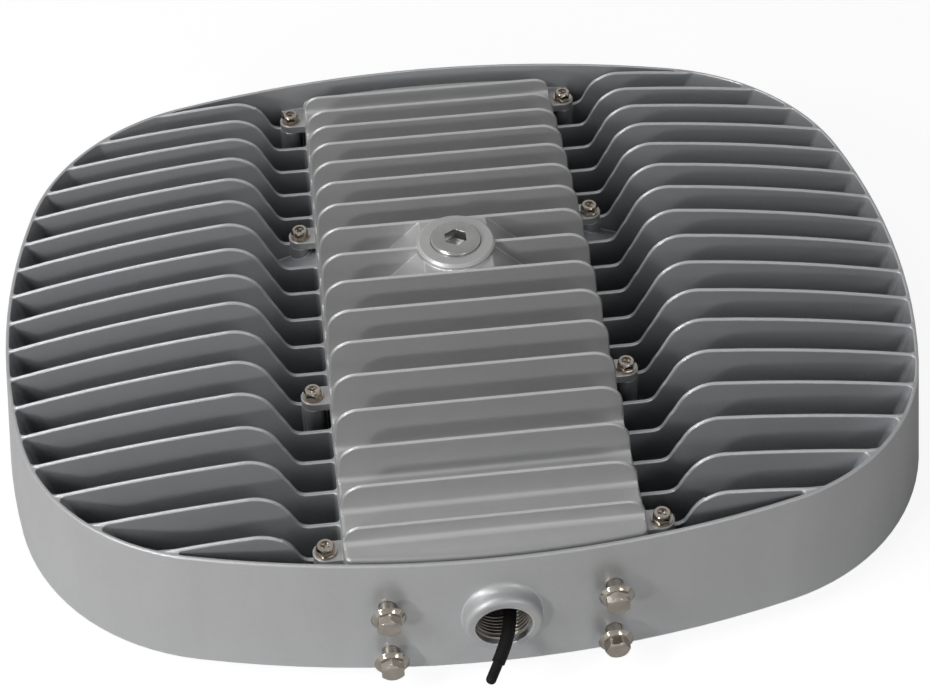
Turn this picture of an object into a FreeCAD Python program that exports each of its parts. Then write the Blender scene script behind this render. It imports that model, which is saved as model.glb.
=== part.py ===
import FreeCAD, Part
import math
import os
from FreeCAD import Vector

# Flood light in its own frame, millimetres. The light side faces down and the part rests on its lens
# frame at z = 0. X runs along the fins, the conduit hub and the bracket bolts face -Y, +Z is up.

# Skirt of the housing: an oval of end arcs, side arcs and corner arcs
rim_half_length = 228.5
rim_half_width = 182.6
rim_end_radius = 543.0
rim_side_radius = 356.0
rim_corner_radius = 110.5
skirt_height = 63.4
skirt_flare = 8.8
rim_land = 1.6
rim_edge_round = 0.8
pocket_lean_deg = 12.0
end_pocket_lean_deg = 4.0

# Stack on the light side
frame_height = 10.0
frame_inset = 11.2
frame_wall = 11.1
frame_lip_width = 10.5
frame_lip = 2.0
cushion_thickness = 1.0
glass_thickness = 5.0
glass_clearance = 0.5
frame_screw_count = 16
light_recess_depth = 9.0
base_thickness = 5.0

# Fins of the housing
fin_pitch = 19.85
fin_end_margin = 18.0
fin_thickness = 1.9
fin_crest_rise = 20.6
fin_end_rise = 3.9
fin_crest_x = 112.0
fin_slope_deg = 66.0
fin_foot_gap = 0.1
fin_end_lap = 0.5
fin_crest_round = 18.0
fin_foot_round = 6.0
fin_edge_break = 0.65
fin_droop_share = 0.6
pocket_corner_round = 2.2
end_pocket_round = 1.0

# Driver compartment in the middle of the housing
shelf_height = 33.7
compartment_end_wall = 26.6
compartment_half_width = 58.0
compartment_wall = 12.2
compartment_corner_round = 10.0
end_block_half_width = 82.0
ramp_row = 2
ramp_length = 24.0
ramp_top_drop = 3.0
ramp_end_drop = 12.0

# Cover of the driver compartment
cover_half_width = 70.0
cover_end_gap = 6.0
cover_height = 10.3
cover_wall = 4.5
cover_corner_round = 4.0
cover_edge_round = 2.0
rib_height = 33.1
rib_end_height = 9.5
rib_top_thickness = 1.7
rib_root_thickness = 4.6
rib_shoulder_round = 12.0
rib_shoulder_share = 0.9
rib_side_lean = 0.08
rib_edge_break = 0.6
rib_root_round = 3.0
rib_root_inset = 0.6
boss_radius = 19.7
boss_rise = 2.2
boss_fill_half = 17.0
boss_ramp_length = 33.0
boss_edge_break = 1.2

# Plug in the boss of the cover
plug_radius = 12.7
plug_depth = 11.0
plug_rise = 2.0
plug_chamfer = 0.9
plug_socket_flats = 10.5
plug_socket_depth = 6.0
plug_seal_thickness = 2.0
plug_seal_width = 3.0

# Screws of the cover
cover_screw_x = 77.9
cover_screw_middle_row = 3
cover_screw_radius = 2.5
cover_screw_length = 12.0
cover_head_flats = 8.0
cover_head_height = 3.6
cover_head_base_share = 0.72
cover_head_top_share = 0.4
washer_radius = 5.2
washer_thickness = 1.1
lug_radius = 6.0
lug_thickness = 4.5

# Gasket in the flange of the compartment
gasket_inset = 3.5
gasket_width = 3.0
gasket_depth = 2.8

# Conduit hub, three-quarter inch pipe thread
hub_height = 28.5
hub_bore_radius = 13.33
hub_bore_depth = 21.0
hub_proud = 6.0
hub_ring = 2.6
hub_lip_round = 2.6
hub_root_round = 4.0
cable_passage_radius = 8.0

# Bolts for the mounting bracket, M8 with flange heads
bolt_x = 52.2
bolt_middle_height = 24.5
bolt_spacing = 28.0
bolt_radius = 4.0
bolt_length = 16.0
bolt_gap = 4.3
bolt_hole_depth = 17.0
bolt_flange_radius = 8.2
bolt_flange_thickness = 1.8
bolt_flange_slope_share = 0.8
bolt_head_flats = 10.4
bolt_head_height = 5.6
bolt_crown_share = 0.43
bolt_crown_spread = 1.2
bolt_turns_deg = {"upper_left": 22.0, "lower_left": 30.0, "upper_right": 32.0, "lower_right": 4.0}

# Moulded bushing behind the thread
bushing_recess = 4.0

# Supply cable: free part out of the hub, as steps from the middle of the hub's face, and the run inside
cable_radius = 3.1
cable_steps = (
    (4.5, hub_bore_depth + bushing_recess, -0.9),
    (4.5, 14.4, -0.9),
    (3.1, 3.9, -2.0),
    (0.3, -6.2, -3.8),
    (-4.6, -15.0, -6.2),
)
cable_end_radius = 2.4
cable_end_length = 11.0
cable_tip_share = 0.9
cable_arc_share = 0.45

# Drivers, terminals and light engine
driver_length = 180.0
driver_width = 50.0
driver_case_height = 27.0
driver_gap = 5.0
driver_ear = 10.0
driver_ear_thickness = 2.0
driver_end_gap = 11.0
terminal_length = 44.0
terminal_width = 20.0
terminal_height = 18.0
terminal_ways = 4
surge_length = 40.0
surge_width = 24.0
surge_height = 20.0
surge_x = 38.0
ground_screw_x = -42.0
ground_screw_drop = 15.0
lead_hole_radius = 5.0
lead_hole_inset = 10.0
lead_hole_end_inset = 8.0
board_length = 100.0
board_width = 112.0
board_middle_x = 118.0
board_middle_y = 62.0
board_thickness = 1.6
pad_thickness = 0.4
led_columns = 4
led_rows = 5
led_size = 3.6
led_height = 1.0
optic_thickness = 3.0
small_screw_radius = 1.5
small_head_radius = 2.8
small_head_height = 2.0
small_screw_length = 4.0

# Fits
screw_clearance = 0.1
bolt_clearance = 0.05
plug_clearance = 0.1
seal_clearance = 0.1
cable_clearance = 0.1

# Smallest length that tells one edge from another
edge_test = 0.1

# Levels that follow from the sizes above
skirt_z = frame_height
rim_z = skirt_z + skirt_height
base_bottom_z = skirt_z + light_recess_depth
base_z = base_bottom_z + base_thickness
shelf_z = base_z + shelf_height
cover_z = shelf_z + cover_height
rib_z = cover_z + rib_height
boss_z = rib_z + boss_rise
hub_z = skirt_z + hub_height
hub_face_y = -(rim_half_width + skirt_flare * (1 - hub_height / skirt_height) + hub_proud)
cable_route = [(x, hub_face_y + y, hub_z + z) for x, y, z in cable_steps]
compartment_half_length = rim_half_width - compartment_end_wall
compartment_x = compartment_half_width + compartment_wall
lead_hole_x = compartment_half_width - lead_hole_inset
lead_hole_y = compartment_half_length - lead_hole_end_inset
driver_middle_y = compartment_half_length - driver_end_gap - driver_ear - driver_length / 2
driver_front_y = driver_middle_y - driver_length / 2 - driver_ear
terminal_y = (driver_front_y - compartment_half_length) / 2
surge_y = terminal_y
ground_screw_y = terminal_y - ground_screw_drop
fin_slope = math.radians(fin_slope_deg)
fin_foot_x = cover_screw_x + lug_radius + fin_foot_gap + fin_foot_round * math.tan(fin_slope / 2)
fins_each_way = int((rim_half_width - fin_end_margin) / fin_pitch)
fin_reach = fins_each_way * fin_pitch
fin_crown_drop = fin_crest_rise - fin_end_rise
fin_crown_radius = (fin_reach ** 2 + fin_crown_drop ** 2) / (2 * fin_crown_drop)
rib_crown_drop = rib_height - rib_end_height
rib_crown_radius = (fin_reach ** 2 + rib_crown_drop ** 2) / (2 * rib_crown_drop)
cover_screw_rows = (-fins_each_way, -cover_screw_middle_row, cover_screw_middle_row, fins_each_way)
pocket_lean = (rim_z - base_z) * math.tan(math.radians(pocket_lean_deg))
end_pocket_lean = (rim_z - base_z) * math.tan(math.radians(end_pocket_lean_deg))
fin_rows = range(-fins_each_way, fins_each_way + 1)
sides = (-1, 1)
glass_grow = skirt_flare - frame_inset - frame_wall - glass_clearance
opening_grow = glass_grow + glass_clearance - frame_lip_width
glass_bottom_z = frame_lip + cushion_thickness
glass_top_z = glass_bottom_z + glass_thickness


def save(name, shapes):
    shape = Part.makeCompound(shapes) if len(shapes) > 1 else shapes[0]
    shape.exportStep("parts/" + name + ".step")
    volume = sum(solid.Volume for solid in shape.Solids)
    print(name, len(shape.Solids), "solids", round(volume / 1000, 2), "cm3", shape.isValid())


def fused(shapes):
    return shapes[0].multiFuse(shapes[1:]).removeSplitter()


def box(x0, x1, y0, y1, z0, z1):
    return Part.makeBox(x1 - x0, y1 - y0, z1 - z0, Vector(x0, y0, z0))


def cylinder(x, y, z0, z1, radius):
    return Part.makeCylinder(radius, z1 - z0, Vector(x, y, z0))


def hexagon(x, y, z0, z1, flats):
    corner = flats / math.sqrt(3)
    angles = [math.radians(60 * i + 30) for i in range(7)]
    points = [Vector(x + corner * math.cos(t), y + corner * math.sin(t), z0) for t in angles]
    return Part.Face(Part.makePolygon(points)).extrude(Vector(0, 0, z1 - z0))


def oval_arcs(grow):
    # Centres and tangent points of one quarter of the skirt's outline, offset outwards by grow
    end_centre = Vector(0, rim_half_width - rim_end_radius, 0)
    side_centre = Vector(rim_half_length - rim_side_radius, 0, 0)
    reach_end = rim_end_radius - rim_corner_radius
    reach_side = rim_side_radius - rim_corner_radius
    between = side_centre.sub(end_centre)
    along = (between.Length ** 2 + reach_end ** 2 - reach_side ** 2) / (2 * between.Length)
    across = math.sqrt(reach_end ** 2 - along ** 2)
    ahead = Vector(between).normalize()
    corner_centre = end_centre + ahead * along + Vector(ahead.y, -ahead.x, 0) * across
    from_end = corner_centre.sub(end_centre).normalize()
    from_side = corner_centre.sub(side_centre).normalize()
    end_point = end_centre + from_end * (rim_end_radius + grow)
    side_point = side_centre + from_side * (rim_side_radius + grow)
    middle = (from_end + from_side).normalize()
    corner_point = corner_centre + middle * (rim_corner_radius + grow)
    return end_centre, side_centre, corner_centre, end_point, side_point, corner_point


def oval(grow, z):
    end_point, side_point, corner_point = oval_arcs(grow)[3:]
    tip_x = Vector(rim_half_length + grow, 0, 0)
    tip_y = Vector(0, rim_half_width + grow, 0)

    def at(point, sx, sy):
        return Vector(point.x * sx, point.y * sy, z)

    arcs = []
    for sx, sy in ((1, 1), (1, -1), (-1, -1), (-1, 1)):
        corner = [at(end_point, sx, sy), at(corner_point, sx, sy), at(side_point, sx, sy)]
        if sx == sy:
            arcs.append(Part.Arc(*corner))
            arcs.append(Part.Arc(at(side_point, sx, sy), at(tip_x, sx, sy), at(side_point, sx, -sy)))
        else:
            arcs.append(Part.Arc(*reversed(corner)))
            arcs.append(Part.Arc(at(end_point, sx, sy), at(tip_y, sx, sy), at(end_point, -sx, sy)))
    return Part.Wire([arc.toShape() for arc in arcs])


def oval_prism(grow, z0, z1):
    return Part.Face(oval(grow, z0)).extrude(Vector(0, 0, z1 - z0))


def oval_ring(outer_grow, inner_grow, z0, z1):
    return oval_prism(outer_grow, z0, z1).cut(oval_prism(inner_grow, z0, z1))


def oval_half_length(y, grow):
    end_centre, side_centre, corner_centre, end_point, side_point = oval_arcs(grow)[:5]
    if abs(y) <= side_point.y:
        return side_centre.x + math.sqrt((rim_side_radius + grow) ** 2 - y ** 2)
    if abs(y) <= end_point.y:
        return corner_centre.x + math.sqrt((rim_corner_radius + grow) ** 2 - (abs(y) - corner_centre.y) ** 2)
    return math.sqrt((rim_end_radius + grow) ** 2 - (abs(y) - end_centre.y) ** 2)


def wall_y(height):
    # The end wall's outer face on the middle line, at a height above the skirt's lower edge
    return -(rim_half_width + skirt_flare * (1 - height / skirt_height))


def rises(edge):
    return abs(edge.Vertexes[0].Z - edge.Vertexes[-1].Z) > edge_test


def upright_edges(shape):
    return [edge for edge in shape.Edges if rises(edge)]


def edges_at(shape, z):
    return [edge for edge in shape.Edges if edge.BoundBox.ZMin > z - edge_test]


def rounded_box(half_x, half_y, z0, z1, radius):
    block = box(-half_x, half_x, -half_y, half_y, z0, z1)
    return block.makeFillet(radius, upright_edges(block))


def round_corner(before, corner, after, radius):
    # Tangent points and middle of an arc that rounds a corner between two straight runs
    u = (before - corner).normalize()
    v = (after - corner).normalize()
    half = u.getAngle(v) / 2
    reach = radius / math.tan(half)
    centre = corner + (u + v).normalize() * (radius / math.sin(half))
    middle = centre + (corner - centre).normalize() * radius
    return corner + u * reach, middle, corner + v * reach


def crown_drop(y, radius):
    return radius - math.sqrt(radius ** 2 - y ** 2)


def fin_profile(row):
    # Edge line of one fin on the +X side: shelf, S-shaped rise, crest and a bowed top that meets the rim
    y = row * fin_pitch
    crest_z = rim_z + fin_crest_rise - crown_drop(y, fin_crown_radius)
    end_x = oval_half_length(abs(y) + fin_thickness / 2, fin_end_lap - rim_land)
    slope = (rim_z - crest_z) / (end_x - fin_crest_x)
    crest = Vector(fin_crest_x, 0, crest_z)
    top = Vector(1, 0, slope * fin_droop_share)
    rise = Vector(math.cos(fin_slope), 0, math.sin(fin_slope))
    foot = Vector(fin_foot_x, 0, shelf_z)
    start = Vector(compartment_x, 0, shelf_z)
    # Where the straight rise meets the line of the top
    run = (crest.z - foot.z - (crest.x - foot.x) * top.z) / (rise.z - rise.x * top.z)
    brow = foot + rise * run
    foot_arc = round_corner(start, foot, brow, fin_foot_round)
    brow_arc = round_corner(foot, brow, brow + top * end_x, fin_crest_round)
    end = Vector(end_x, 0, rim_z)
    # The bowed top leaves the crest along its own slope and ends on the rim
    leave = Vector(top).normalize()
    normal = Vector(leave.z, 0, -leave.x)
    chord = end - brow_arc[2]
    bow_radius = chord.dot(chord) / (2 * normal.dot(chord))
    centre = brow_arc[2] + normal * bow_radius
    halfway = (brow_arc[2] + end) * 0.5
    bow_middle = centre + (halfway - centre).normalize() * bow_radius
    edges = [
        Part.LineSegment(start, foot_arc[0]),
        Part.Arc(*foot_arc),
        Part.LineSegment(foot_arc[2], brow_arc[0]),
        Part.Arc(*brow_arc),
        Part.Arc(brow_arc[2], bow_middle, end),
    ]
    return edges, start, end


def close_profile(edges, points):
    lines = [Part.LineSegment(a, b) for a, b in zip(points, points[1:])]
    return Part.Face(Part.Wire([edge.toShape() for edge in edges + lines]))


def on_side(shape, side):
    return shape if side > 0 else shape.mirror(Vector(0, 0, 0), Vector(1, 0, 0))


def fin(row, side):
    edges, start, end = fin_profile(row)
    low_end = Vector(end.x, 0, base_z)
    low_start = Vector(start.x, 0, base_z)
    face = close_profile(edges, [end, low_end, low_start, start])
    face.translate(Vector(0, row * fin_pitch - fin_thickness / 2, 0))
    blade = face.extrude(Vector(0, fin_thickness, 0))
    top = [e for e in edges_at(blade, base_z + 2 * edge_test)
           if e.BoundBox.YLength < edge_test and e.BoundBox.XLength > edge_test]
    return on_side(blade.makeChamfer(fin_edge_break, top), side)


def valley():
    # Space above the shelf and between the fins, as far out as the lowest fin lets it go
    edges, start, end = fin_profile(fins_each_way)
    top_end = Vector(end.x, 0, rim_z + fin_pitch)
    top_start = Vector(start.x, 0, top_end.z)
    reach = rim_half_width
    face = close_profile(edges, [end, top_end, top_start, start])
    face.translate(Vector(0, -reach, 0))
    side = face.extrude(Vector(0, 2 * reach, 0))
    middle = box(-compartment_x, compartment_x, -reach, reach, shelf_z, top_end.z)
    return [middle, side, on_side(side, -1)]


def pocket_core(lean):
    # Room inside the skirt, leaning in towards the floor of the pockets
    return Part.makeLoft([oval(-rim_land - lean, base_z), oval(-rim_land, rim_z)], True, True)


def rounded_pocket(core, x0, y0, y1, radius):
    space = box(x0, rim_half_length, y0, y1, base_z, rim_z).common(core).Solids[0]
    corners = {}
    for face in space.Faces:
        flat = isinstance(face.Surface, Part.Plane)
        if flat and abs(face.normalAt(0, 0).z) < edge_test:
            for edge in upright_edges(face):
                corners[edge.hashCode()] = edge
    return space.makeFillet(radius, list(corners.values()))


def pockets():
    # Spaces between neighbouring fins, and between the last fins and the ends of the skirt
    core = pocket_core(pocket_lean)
    end_core = pocket_core(end_pocket_lean)
    half = fin_thickness / 2
    spaces = []
    for gap in range(-fins_each_way, fins_each_way):
        y0 = gap * fin_pitch + half
        y1 = (gap + 1) * fin_pitch - half
        spaces.append(rounded_pocket(core, compartment_x, y0, y1, pocket_corner_round))
    last = fins_each_way * fin_pitch + half
    spaces.append(rounded_pocket(end_core, end_block_half_width, last, rim_half_width, end_pocket_round))
    spaces.append(rounded_pocket(end_core, end_block_half_width, -rim_half_width, -last, end_pocket_round))
    return [on_side(space, side) for space in spaces for side in sides]


def hub():
    # Collar of the conduit entry, turned about its own axis, which points along -Y, with a round lip and
    # a hollow root that runs out into the leaning wall
    ring_radius = hub_bore_radius + hub_ring
    collar_radius = ring_radius + hub_lip_round
    root_radius = collar_radius + hub_root_round
    wall = wall_y(hub_height + root_radius)
    diagonal = Vector(1, -1, 0).normalize()
    face_edge = Vector(ring_radius, hub_face_y, 0)
    lip = Vector(collar_radius, hub_face_y + hub_lip_round, 0)
    lip_middle = Vector(ring_radius, lip.y, 0) + diagonal * hub_lip_round
    root = Vector(root_radius, wall, 0)
    root_start = Vector(collar_radius, wall - hub_root_round, 0)
    root_middle = Vector(root_radius, root_start.y, 0) - diagonal * hub_root_round
    back = wall + rim_land
    edges = [
        Part.Arc(face_edge, lip_middle, lip),
        Part.LineSegment(lip, root_start),
        Part.Arc(root_start, root_middle, root),
    ]
    inside = [Vector(root.x, back, 0), Vector(0, back, 0), Vector(0, hub_face_y, 0)]
    turn = close_profile(edges, [root] + inside + [face_edge])
    collar = turn.revolve(Vector(0, 0, 0), Vector(0, 1, 0), 360)
    collar.translate(Vector(0, 0, hub_z))
    return collar


def along_y(x, y0, y1, z, radius):
    return Part.makeCylinder(radius, y1 - y0, Vector(x, y0, z), Vector(0, 1, 0))


def bolt_places():
    for side, side_name in ((-1, "left"), (1, "right")):
        for level, level_name in ((-1, "lower"), (1, "upper")):
            height = bolt_middle_height + level * bolt_spacing / 2
            yield level_name + "_" + side_name, side * bolt_x, wall_y(height), skirt_z + height


def cover_screw_places():
    return [(side * cover_screw_x, row * fin_pitch) for side in sides for row in cover_screw_rows]


def frame_screw_places():
    # Evenly spaced along each quarter of the frame, on the line through the middle of its wall
    grow = skirt_flare - frame_inset - frame_wall / 2
    end_centre, side_centre, corner_centre, end_point, side_point, corner_point = oval_arcs(grow)
    end_tip = Vector(0, rim_half_width + grow, 0)
    side_tip = Vector(rim_half_length + grow, 0, 0)
    end_way = (end_tip + end_point - end_centre * 2).normalize()
    end_middle = end_centre + end_way * (rim_end_radius + grow)
    side_way = (side_tip + side_point - side_centre * 2).normalize()
    side_middle = side_centre + side_way * (rim_side_radius + grow)
    arcs = [
        Part.Arc(end_tip, end_middle, end_point),
        Part.Arc(end_point, corner_point, side_point),
        Part.Arc(side_point, side_middle, side_tip),
    ]
    quarter = Part.Wire([arc.toShape() for arc in arcs])
    points = quarter.discretize(Number=frame_screw_count // 2 + 1)[1::2]
    return [(p.x * sx, p.y * sy) for sx in sides for sy in sides for p in points]


def board_places():
    return [(sx * board_middle_x, sy * board_middle_y) for sx in sides for sy in sides]


def board_screw_places():
    # Two screws on the middle line of each board, between its rows of light sources
    step = board_length / led_columns
    return [(x + s * step, y) for x, y in board_places() for s in sides]


def driver_places():
    return [(side, side * (driver_width + driver_gap) / 2) for side in sides]


def driver_screw_places():
    reach = (driver_length + driver_ear) / 2
    return [(x, driver_middle_y + s * reach) for side, x in driver_places() for s in sides]


def lead_places():
    return [(side * lead_hole_x, lead_hole_y) for side in sides]


def gasket_ring(clearance):
    inner = gasket_inset - clearance
    outer = gasket_inset + gasket_width + clearance
    z0 = shelf_z - gasket_depth
    rounding = compartment_corner_round
    big = rounded_box(compartment_half_width + outer, compartment_half_length + outer, z0, shelf_z,
                      rounding + outer)
    small = rounded_box(compartment_half_width + inner, compartment_half_length + inner, z0, shelf_z,
                        rounding + inner)
    return big.cut(small)


def heat_sink_housing():
    skirt = Part.makeLoft([oval(skirt_flare, skirt_z), oval(0, rim_z)], True, True)
    skirt = skirt.makeFillet(rim_edge_round, edges_at(skirt, rim_z))
    core = pocket_core(end_pocket_lean)
    valley_space = [space.common(core) for space in valley()]
    body = skirt.cut(valley_space).cut(pockets())
    fins = [fin(row, side) for row in fin_rows for side in sides]
    bosses = [cylinder(x, y, base_z, shelf_z, lug_radius) for x, y in cover_screw_places()]
    body = body.multiFuse(fins + bosses + wire_ramps() + [hub()])

    holes = [rounded_box(compartment_half_width, compartment_half_length, base_z, shelf_z,
                         compartment_corner_round)]
    holes.append(gasket_ring(seal_clearance))
    holes.append(oval_prism(opening_grow, skirt_z, base_bottom_z))
    bore_end = hub_face_y + hub_bore_depth
    holes.append(along_y(0, hub_face_y, bore_end, hub_z, hub_bore_radius))
    holes.append(along_y(0, bore_end, -compartment_half_length, hub_z, cable_passage_radius))
    for name, x, wall, z in bolt_places():
        holes.append(along_y(x, wall - bolt_gap, wall + bolt_hole_depth, z, bolt_radius + bolt_clearance))
    depth = cover_screw_length - lug_thickness
    for x, y in cover_screw_places():
        holes.append(cylinder(x, y, shelf_z - depth, shelf_z, cover_screw_radius + screw_clearance))
    for x, y in frame_screw_places():
        holes.append(cylinder(x, y, skirt_z, skirt_z + cover_screw_length - frame_height / 2,
                              cover_screw_radius + screw_clearance))
    small_hole = small_screw_radius + screw_clearance
    for x, y in board_screw_places():
        holes.append(cylinder(x, y, base_bottom_z, base_bottom_z + small_screw_length - board_thickness,
                              small_hole))
    for x, y in driver_screw_places():
        holes.append(cylinder(x, y, base_z - small_screw_length + driver_ear_thickness, base_z, small_hole))
    holes.append(cylinder(ground_screw_x, ground_screw_y, base_z - small_screw_length, base_z, small_hole))
    for x, y in lead_places():
        holes.append(cylinder(x, y, base_bottom_z, base_z, lead_hole_radius))
    return body.cut(holes)


def wire_ramps():
    # Sloped ledge in one pocket on each side, against the compartment wall
    y0 = ramp_row * fin_pitch
    x1 = compartment_x + ramp_length
    points = [
        Vector(compartment_x, y0, base_z),
        Vector(compartment_x, y0, shelf_z - ramp_top_drop),
        Vector(x1, y0, shelf_z - ramp_end_drop),
        Vector(x1, y0, base_z),
    ]
    wedge = Part.Face(Part.makePolygon(points + points[:1])).extrude(Vector(0, fin_pitch, 0))
    return [on_side(wedge, side) for side in sides]


def rib(row, plan):
    # Cover rib: flat top, rounded shoulders, sides flush with the cover, thicker at the root than the top
    y = row * fin_pitch
    top_z = rib_z - crown_drop(y, rib_crown_radius)
    low = cover_z - cover_wall / 2
    lean = rib_side_lean * (top_z - low)
    foot = Vector(cover_half_width, 0, low)
    shoulder = Vector(cover_half_width - lean, 0, top_z)
    radius = min(rib_shoulder_round, (top_z - cover_z) * rib_shoulder_share)
    right = round_corner(Vector(0, 0, top_z), shoulder, foot, radius)
    left = [Vector(-p.x, 0, p.z) for p in reversed(right)]
    edges = [
        Part.LineSegment(left[2], right[0]),
        Part.Arc(*right),
        Part.LineSegment(right[2], foot),
    ]
    face = close_profile(edges + [Part.Arc(*left)], [foot, Vector(-foot.x, 0, low), left[0]])
    face.translate(Vector(0, y - fin_pitch / 2, 0))
    blank = face.extrude(Vector(0, fin_pitch, 0))

    taper = (rib_root_thickness - rib_top_thickness) / 2 / rib_height
    top_half = rib_top_thickness / 2

    def half_at(z):
        return top_half + taper * (top_z - z)

    section = [
        Vector(-cover_half_width, y - half_at(low), low),
        Vector(-cover_half_width, y - top_half, top_z),
        Vector(-cover_half_width, y + top_half, top_z),
        Vector(-cover_half_width, y + half_at(low), low),
    ]
    wedge = Part.Face(Part.makePolygon(section + section[:1])).extrude(Vector(2 * cover_half_width, 0, 0))
    blade = blank.common(wedge).Solids[0]
    outline = [e for e in blade.Edges
               if e.BoundBox.YLength < top_half and e.BoundBox.ZMax > cover_z + edge_test]
    blade = blade.makeChamfer(rib_edge_break, outline)
    return [blade.common(plan), rib_root(y, half_at(cover_z + rib_root_round), low)]


def rib_root(y, half, low):
    # Hollow fillets on both sides of a rib's foot
    x = cover_half_width - rib_root_inset
    reach = half + rib_root_round
    bend = rib_root_round * (1 - math.sqrt(0.5))
    z1 = cover_z + rib_root_round

    def at(side, across, z):
        return Vector(-x, y + side * across, z)

    arcs = [Part.Arc(at(side, reach, cover_z), at(side, half + bend, cover_z + bend), at(side, half, z1))
            for side in sides]
    across_top = Part.LineSegment(at(-1, half, z1), at(1, half, z1))
    closing = [at(1, reach, cover_z), at(1, reach, low), at(-1, reach, low), at(-1, reach, cover_z)]
    lines = [Part.LineSegment(a, b) for a, b in zip(closing, closing[1:])]
    loop = Part.Wire(Part.__sortEdges__([edge.toShape() for edge in arcs + [across_top] + lines]))
    return Part.Face(loop).extrude(Vector(2 * x, 0, 0))


def boss_ramps():
    # Fill between the ribs beside the boss: flat near it, then sloping down to the floor of the channels
    low = cover_z - cover_wall / 2
    fill_z = rib_z - crown_drop(fin_pitch, rib_crown_radius) - rib_edge_break
    foot_x = boss_fill_half + boss_ramp_length
    points = [
        Vector(-foot_x, -fin_pitch, low),
        Vector(-foot_x, -fin_pitch, cover_z),
        Vector(-boss_fill_half, -fin_pitch, fill_z),
        Vector(boss_fill_half, -fin_pitch, fill_z),
        Vector(foot_x, -fin_pitch, cover_z),
        Vector(foot_x, -fin_pitch, low),
    ]
    return Part.Face(Part.makePolygon(points + points[:1])).extrude(Vector(0, 2 * fin_pitch, 0))


def driver_cover():
    plan = box(-cover_half_width, cover_half_width, -rim_half_width, rim_half_width, shelf_z, cover_z)
    block = plan.common(oval_prism(-rim_land - cover_end_gap, shelf_z, cover_z)).Solids[0]
    block = block.makeFillet(cover_corner_round, upright_edges(block))
    outline = [face for face in block.Faces if face.BoundBox.ZMax < shelf_z + edge_test][0]
    room = outline.extrude(Vector(0, 0, boss_z - shelf_z))
    block = block.makeFillet(cover_edge_round, edges_at(block, cover_z))
    lugs = []
    for x, y in cover_screw_places():
        lug = cylinder(x, y, shelf_z, shelf_z + lug_thickness, lug_radius)
        inner = cover_half_width - cover_edge_round
        neck = box(min(inner, cover_screw_x), max(inner, cover_screw_x), y - lug_radius, y + lug_radius,
                   shelf_z, shelf_z + lug_thickness)
        lugs.append(lug)
        lugs.append(on_side(neck, 1 if x > 0 else -1))
    ribs = [piece for row in fin_rows for piece in rib(row, room)]
    boss = cylinder(0, 0, cover_z - cover_wall / 2, boss_z, boss_radius)
    boss = boss.makeChamfer(boss_edge_break, edges_at(boss, boss_z))
    body = block.multiFuse(ribs + [boss_ramps(), boss] + lugs).removeSplitter()

    cavity_top = cover_z - cover_wall
    seat_z = boss_z - plug_depth - plug_seal_thickness
    holes = [rounded_box(compartment_half_width, compartment_half_length, shelf_z, cavity_top,
                         compartment_corner_round)]
    holes.append(cylinder(0, 0, seat_z, boss_z, plug_radius + plug_clearance))
    holes.append(cylinder(0, 0, cavity_top, seat_z, plug_radius - plug_seal_width))
    for x, y in cover_screw_places():
        holes.append(cylinder(x, y, shelf_z, shelf_z + lug_thickness, cover_screw_radius + screw_clearance))
    return body.cut(holes)


def cover_screw(x, y):
    seat = shelf_z + lug_thickness + washer_thickness
    tip = shelf_z + lug_thickness - cover_screw_length
    head = hexagon(x, y, seat, seat + cover_head_height, cover_head_flats)
    dome = Part.makeCone(cover_head_flats * cover_head_base_share, cover_head_flats * cover_head_top_share,
                         cover_head_height, Vector(x, y, seat))
    shank = cylinder(x, y, tip + screw_clearance, seat, cover_screw_radius)
    return head.common(dome).fuse(shank).removeSplitter()


def cover_washer(x, y):
    seat = shelf_z + lug_thickness
    disc = cylinder(x, y, seat, seat + washer_thickness, washer_radius)
    return disc.cut(cylinder(x, y, seat, seat + washer_thickness, cover_screw_radius + screw_clearance))


def port_plug():
    top = boss_z + plug_rise
    body = cylinder(0, 0, boss_z - plug_depth, top, plug_radius)
    body = body.makeChamfer(plug_chamfer, edges_at(body, top))
    return body.cut(hexagon(0, 0, top - plug_socket_depth, top, plug_socket_flats))


def plug_seal():
    top = boss_z - plug_depth
    bottom = top - plug_seal_thickness
    ring = cylinder(0, 0, bottom, top, plug_radius)
    return ring.cut(cylinder(0, 0, bottom, top, plug_radius - plug_seal_width))


def bracket_bolt(x, wall, z, turn):
    # Flange bolt that points along +Y, with its flange a bracket's room away from the wall
    seat = wall - bolt_gap
    shank = along_y(x, seat, seat + bolt_length, z, bolt_radius)
    flange_top = bolt_flange_radius * bolt_flange_slope_share
    flange = Part.makeCone(flange_top, bolt_flange_radius, bolt_flange_thickness,
                           Vector(x, seat - bolt_flange_thickness, z), Vector(0, 1, 0))
    head_end = seat - bolt_flange_thickness / 2 - bolt_head_height
    corner = bolt_head_flats / math.sqrt(3)
    angles = [math.radians(60 * i + turn) for i in range(7)]
    points = [Vector(x + corner * math.cos(t), head_end, z + corner * math.sin(t)) for t in angles]
    head = Part.Face(Part.makePolygon(points)).extrude(Vector(0, bolt_head_height, 0))
    crown = Part.makeCone(bolt_head_flats * bolt_crown_share, bolt_head_flats * bolt_crown_spread,
                          bolt_head_height, Vector(x, head_end, z), Vector(0, 1, 0))
    return fused([shank, flange, head.common(crown)])


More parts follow.
